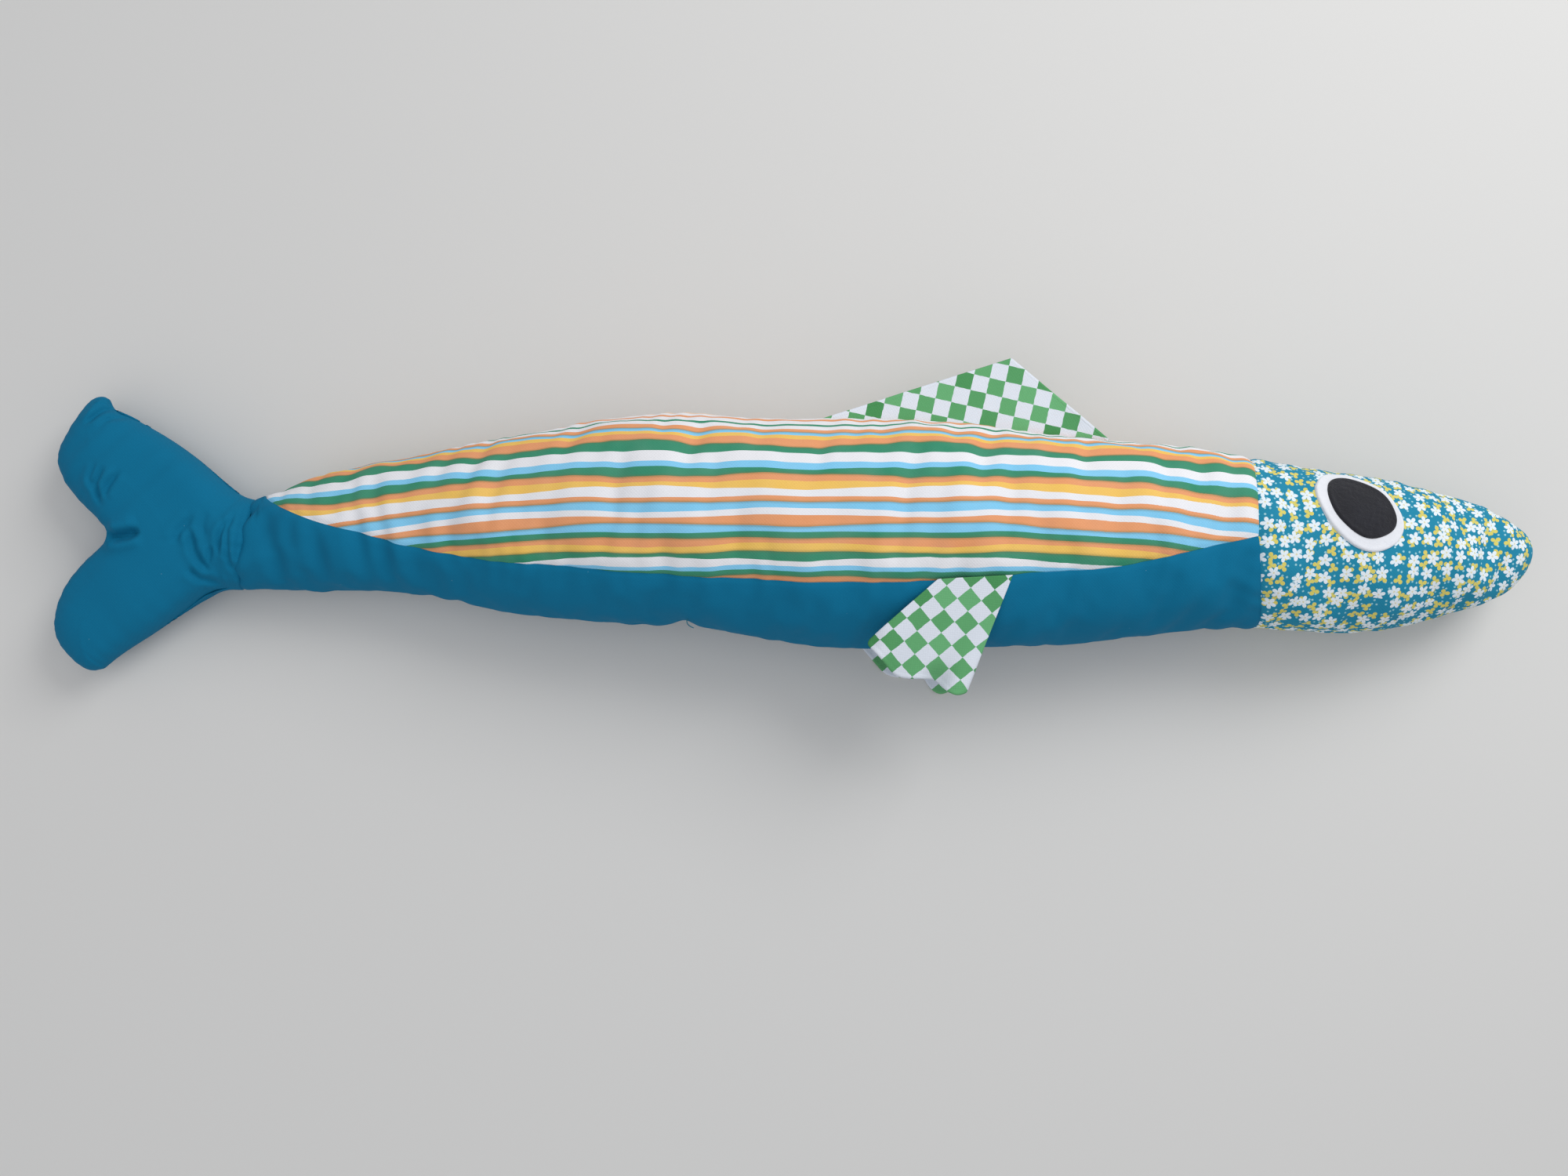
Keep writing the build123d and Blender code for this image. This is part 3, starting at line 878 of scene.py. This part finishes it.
for side_name, side in SIDES:
    points = tail_surface(side)
    piece = cloth_leaf(f"teal_tail_{side_name}", points, points[..., :2], np.array([0, 0, side]))
    finish_piece(piece, TEAL, "teal_cotton", f"tail_panel_{side_name}")
    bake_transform(piece)


TAIL_FILLING_DEPTH = 3


def tail_filling():
    """The tail's two sides sunk under the cloth, well inside its outline, and joined round their borders.

    It starts some way back from the tail seam.
    """
    inner = np.s_[46:-24, 24:-24]
    right, left = (tail_surface(side, TAIL_FILLING_DEPTH)[inner] for side in (1, -1))
    left = left + np.array([0, 0, 1.2])
    right[..., 2] = np.maximum(right[..., 2], left[..., 2] + 0.6)
    return finish_piece(joined_sides("tail_filling", right, left), FIBRE, "fibre_filling", "tail_stuffing")


tail_core = tail_filling()
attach(tail_core, "tail")


# --- fins

def check_uv(plan, degrees, shift):
    """Print coordinates in mm: the plan turned by `degrees` and moved by `shift`."""
    c, s = math.cos(math.radians(degrees)), math.sin(math.radians(degrees))
    x, y = plan[..., 0], plan[..., 1]
    return np.stack([x * c + y * s + shift[0], y * c - x * s + shift[1]], -1)


DORSAL_Z = 48.5  # the height that the dorsal fin stands out at


def dorsal_fin(side):
    """One face of the dorsal fin: a three-cornered sheet whose root lies in the back seam, faintly wavy."""
    x = np.linspace(19, 189.4, 160)
    root = smooth(x, SECTIONS[:, 0], SECTIONS[:, 1]) - TUCK
    top = np.interp(x, [19, 132, 190.3], [66.2, 102.3, 53.6])
    share = np.linspace(0, 1, 60)[:, None]
    rise = np.maximum(top - root, 0.5)
    plan = np.stack([x + 0 * share, root + rise * share], -1)
    seam_z = smooth(x, SECTIONS[:, 0], SECTIONS[:, 3])
    height = DORSAL_Z + (seam_z - DORSAL_Z) * (1 - share) + 0.7 * waves(x + 9 * share, 55, 31) * share
    edge = np.minimum((1 - share) * rise, 3)
    pad = 0.55 * np.clip(edge / 2.0, 0, 1) ** 0.5 - 0.25 * bump(edge - 2.6, 0.7)
    z = height + side * (0.35 + pad)
    return plan, np.concatenate([plan, z[..., None]], -1)


for side_name, side in SIDES:
    plan, points = dorsal_fin(side)
    piece = cloth_leaf(f"check_dorsal_{side_name}", points, check_uv(plan, -13, (0, 0)), np.array([0, 0, side]),
                       FIN_CLOTH)
    finish_piece(piece, CHECKED, "check_cotton", f"dorsal_fin_{side_name}_face")
    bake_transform(piece)


# The pectoral fin in its own plane: its root, its front and rear edges from the root outwards, and its free edge
PECTORAL_ROOT = np.array([(42, 0), (0, 0)], float)
PECTORAL_FRONT = np.array([(42, 0), (15.2, 65.5)], float)
PECTORAL_REAR = np.array([(0, 0), (-38.6, 31.3)], float)
PECTORAL_FREE = np.array([(15.2, 65.5), (13.6, 67.8), (8.1, 69.2), (2.6, 65.6), (0.2, 61), (-2.5, 56.7),
                          (-10.6, 57.3), (-17, 57.2), (-25.5, 55), (-33.4, 44.8), (-40, 36.2), (-40.4, 33.6),
                          (-38.6, 31.3)], float)
# Each fin: where its root's rear end lies, how far it droops in degrees, and how limp it is
PECTORALS = (("right", 1, (82.6, -29.5, 96.6), 12.7, 1), ("left", -1, (83, -33, 1.1), 0, 0.12))
ROOT_TURN = 3.1


def pectoral_fin(root, droop, layer, limp):
    """One layer of a pectoral fin, its free edge rolled and waved by `limp`; layer is 1 outside and -1 inside.

    The grid fills its four borders: the root, the free edge, and the front and rear edges.
    """
    shares = np.linspace(0, 1, 90)
    base, front, rear, free = (resample(line, shares) for line in (
        PECTORAL_ROOT, PECTORAL_FRONT, PECTORAL_REAR, rounded(PECTORAL_FREE)))
    flat = coons_patch(base, free, front, rear, shares[:, None, None], shares[None, :, None])
    out = shares[:, None]
    edge, _ = line_distance(flat, np.concatenate([front, free, rear[::-1]]))
    ripple = waves(shares * 60 + 4, 24, 61)[None, :] * out**3
    lift = limp * (2.6 * ripple + 0.5 * waves(flat[..., 0] + flat[..., 1], 30, 63))
    lift = lift - limp * 5 * bump(np.hypot(flat[..., 0] + 3, flat[..., 1] - 58), 7) * out
    lift = lift - limp * 4 * bump(np.hypot(flat[..., 0] + 41, flat[..., 1] - 34), 8)
    pad = 0.5 * np.clip(edge / 2, 0, 1) ** 0.5 - 0.22 * bump(edge - 2.7, 0.7)
    lift = lift * (1 - np.exp(-flat[..., 1] / 8)) + layer * (0.25 + pad)
    c, s = math.cos(math.radians(ROOT_TURN)), math.sin(math.radians(ROOT_TURN))
    tilt = math.radians(droop)
    drop = flat[..., 1] * math.cos(tilt) + lift * -math.sin(tilt)
    x = root[0] + flat[..., 0] * c + drop * s
    y = root[1] + flat[..., 0] * s - drop * c
    z = root[2] - flat[..., 1] * math.sin(tilt) + lift * math.cos(tilt)
    return flat, np.stack([x, y, z], -1)


for side_name, side, root, droop, limp in PECTORALS:
    for layer_name, layer in (("outer", side), ("lining", -side)):
        flat, points = pectoral_fin(root, droop, layer, limp)
        points[..., 2] = np.maximum(points[..., 2], 0.2)
        piece = cloth_leaf(f"check_pectoral_{side_name}_{layer_name}", points, check_uv(flat, 56 - ROOT_TURN, (3, 1)),
                           np.array([0, 0, layer]), FIN_CLOTH)
        finish_piece(piece, CHECKED, "check_cotton", f"pectoral_fin_{side_name}_{layer_name}")
        if side > 0:
            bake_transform(piece)
        else:
            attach(piece, "pectoral_fin_left")


# --- eyes

# Outlines seen along Z; the eye on the left flank is the same
EYE_OUTLINE = [(302, 23.5), (306, 28.2), (311, 31), (317.5, 31.8), (326.5, 30.7), (334.5, 28.2), (341.5, 24.3),
               (347.5, 18.8), (350.8, 12), (352.3, 4.2), (351, -3), (346.5, -9.2), (339.8, -12.8),
               (333.3, -14.2), (327, -13.6), (320.8, -11), (314.4, -6.4), (309.2, -0.6), (305.2, 6.3), (302, 14),
               (301.2, 19.5)]
PUPIL_OUTLINE = [(308.4, 21.3), (310.4, 25.4), (315, 28), (321.2, 28.3), (328, 26.9), (335.2, 24.3),
                 (341.2, 20.5), (345.4, 15.3), (347.4, 8.9), (347.7, 3.6), (345.3, -1.6), (340, -4.9),
                 (332.8, -7), (326.8, -6.6), (320.6, -3.4), (315.3, 1.2), (311, 6.6), (308.8, 12), (307.8, 17.6)]


EDGE_ROLL = 0.35


def patch(outline, side, low, crown, rough):
    """A closed oval laid on the head: rings from its middle to its outline, then down the edge to the cloth.

    Its top stands `low` above the head, rises by `crown` to the middle and by EDGE_ROLL near the edge, and has loops
    `rough` high.
    """
    outline = rounded(np.array(outline + outline[:1], float))
    outline[0] = outline[-1] = (outline[1] + outline[-2]) / 2
    border = resample(outline, np.linspace(0, 1, 161))[:-1]
    middle = border.mean(0)
    shares = np.concatenate([np.linspace(0.02, 0.8, 34), np.linspace(0.82, 1, 14)])[:, None]
    plan = middle + shares[..., None] * (border - middle)[None]
    inward = (1 - shares) * np.linalg.norm(border - middle, axis=-1)
    lift = low + crown * (1 - shares**2) + EDGE_ROLL * bump(inward - 1.6, 1.3)
    if rough:
        loops = waves(plan[..., 0] + 0.6 * plan[..., 1], 5, 15) * waves(plan[..., 1] - 0.5 * plan[..., 0], 4.4, 16)
        lift = lift + rough * loops * np.clip(inward / 2.5 - 0.6, 0, 1)
    near = np.clip(inward / 1.2, 0, 1)
    lift = lift * np.sqrt(near * (2 - near)) ** 0.8
    lift = np.concatenate([lift, lift[-1:] * 0 - 1.5])
    plan = np.concatenate([plan, plan[-1:]])
    centre, _, half_height, _ = section(plan[..., 0])
    angle = np.arccos(np.clip((plan[..., 1] - centre) / half_height, -1, 1))
    return body_point(plan[..., 0], side * angle, lift)


for side_name, side in SIDES:
    for name, outline, low, crown, rough, material, slot, node in (
        ("felt_eye", EYE_OUTLINE, 1.3, 0.2, 0, FELT, "white_felt", "eye_white"),
        ("wool_pupil", PUPIL_OUTLINE, 2.4 if side > 0 else 2.0, 0.5, 0.1, WOOL, "black_wool", "pupil"),
    ):
        piece = closed_lump(f"{name}_{side_name}", patch(outline, side, low, crown, rough), side > 0)
        finish_piece(piece, material, slot, f"{node}_{side_name}")
        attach(piece, "body")


# --- closing stitches

def thread_tube(points):
    """Rings of points round a line of points, square to it."""
    forward = unit(np.gradient(points, axis=0))
    sideways = unit(np.cross(forward, (0.1, 1, 0.05)))
    upward = np.cross(forward, sideways)
    turn = np.linspace(0, 2 * np.pi, RING + 1)[:-1, None]
    return points[:, None] + THREAD_RADIUS * (np.cos(turn) * sideways[:, None] + np.sin(turn) * upward[:, None])


THREAD_RADIUS = 0.32
STITCHES = 8
STITCH_PITCH = 5
RING = 8  # points round the thread


def closing_stitches():
    """Short slanting ladder stitches across the belly seam, then one loose thread end curling out of the pucker."""
    points, faces, lines = [], [], []
    t = np.linspace(-1, 1, 9)
    for number in range(STITCHES):
        x = GAP_X - 6 + STITCH_PITCH * number
        angle = np.pi + 0.045 * t
        turned = np.where(angle > np.pi, angle - 2 * np.pi, angle)
        lines.append(body_point(x + 0.9 * t, turned, 0.35 - 0.9 * t**4))
    s = np.linspace(0, 1, 24)
    end = body_point(np.array(GAP_X, float), np.array(2.75), np.array(0.4))
    curl = [-2 + 9 * s + 2 * np.sin(6 * s), 1.5 - 6 * s**1.5 + 1.2 * np.sin(5 * s), 0.4 + 0 * s]
    lines.append(end + np.stack(curl, -1))
    for line in lines:
        rows, base = len(line), sum(len(rings) for rings in points)
        quads, ring, _ = ring_faces(rows, RING)
        faces += (quads + base).tolist()
        faces += [(ring[::-1] + base).tolist(), (ring + base + (rows - 1) * RING).tolist()]
        points.append(thread_tube(line).reshape(-1, 3))
    return make_mesh("ladder_stitches", np.concatenate(points), faces)


piece = closing_stitches()
finish_piece(piece, THREAD, "sewing_thread", "closing_stitches")
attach(piece, "body")


# --- stage

def stage_and_light():
    """A pale paper floor, a camera straight above, and soft studio light from large panels."""
    floor = make_mesh("floor", [(-4000, -4000, -0.3), (4000, -4000, -0.3), (4000, 4000, -0.3), (-4000, 4000, -0.3)],
                      [(0, 1, 2, 3)])
    paper = bpy.data.materials.new("pale_paper")
    paper.use_nodes = True
    surface = paper.node_tree.nodes["Principled BSDF"]
    surface.inputs["Base Color"].default_value = linear("#DAD9D6")
    surface.inputs["Roughness"].default_value = 0.9
    floor.data.materials.append(paper)

    camera = bpy.data.objects.new("camera", bpy.data.cameras.new("camera"))
    camera.data.sensor_width = 36
    camera.data.angle = math.radians(CAMERA_ANGLE)
    camera.data.clip_start = 0.01
    camera.location = np.array(CAMERA_AT) * MM
    bpy.context.scene.collection.objects.link(camera)
    bpy.context.scene.camera = camera

    for name, place, size, watts in (
        ("window", (0.9, 0.95, 1.15), 0.9, 14.5),
        ("fill", (-0.8, -0.9, 1.2), 1.4, 2),
        ("overhead", (0.1, 0.1, 1.9), 1.6, 4),
    ):
        light = bpy.data.objects.new(name, bpy.data.lights.new(name, "AREA"))
        light.data.size = size
        light.data.energy = watts
        light.location = place
        light.rotation_euler = (-Vector(place)).to_track_quat("-Z", "Y").to_euler()
        bpy.context.scene.collection.objects.link(light)
    world = bpy.data.worlds.new("studio")
    world.use_nodes = True
    sky = world.node_tree.nodes["Background"]
    sky.inputs["Color"].default_value = (0.93, 0.95, 1, 1)
    sky.inputs["Strength"].default_value = 0.5
    bpy.context.scene.world = world
    bpy.context.scene.view_settings.view_transform = "Standard"


stage_and_light()
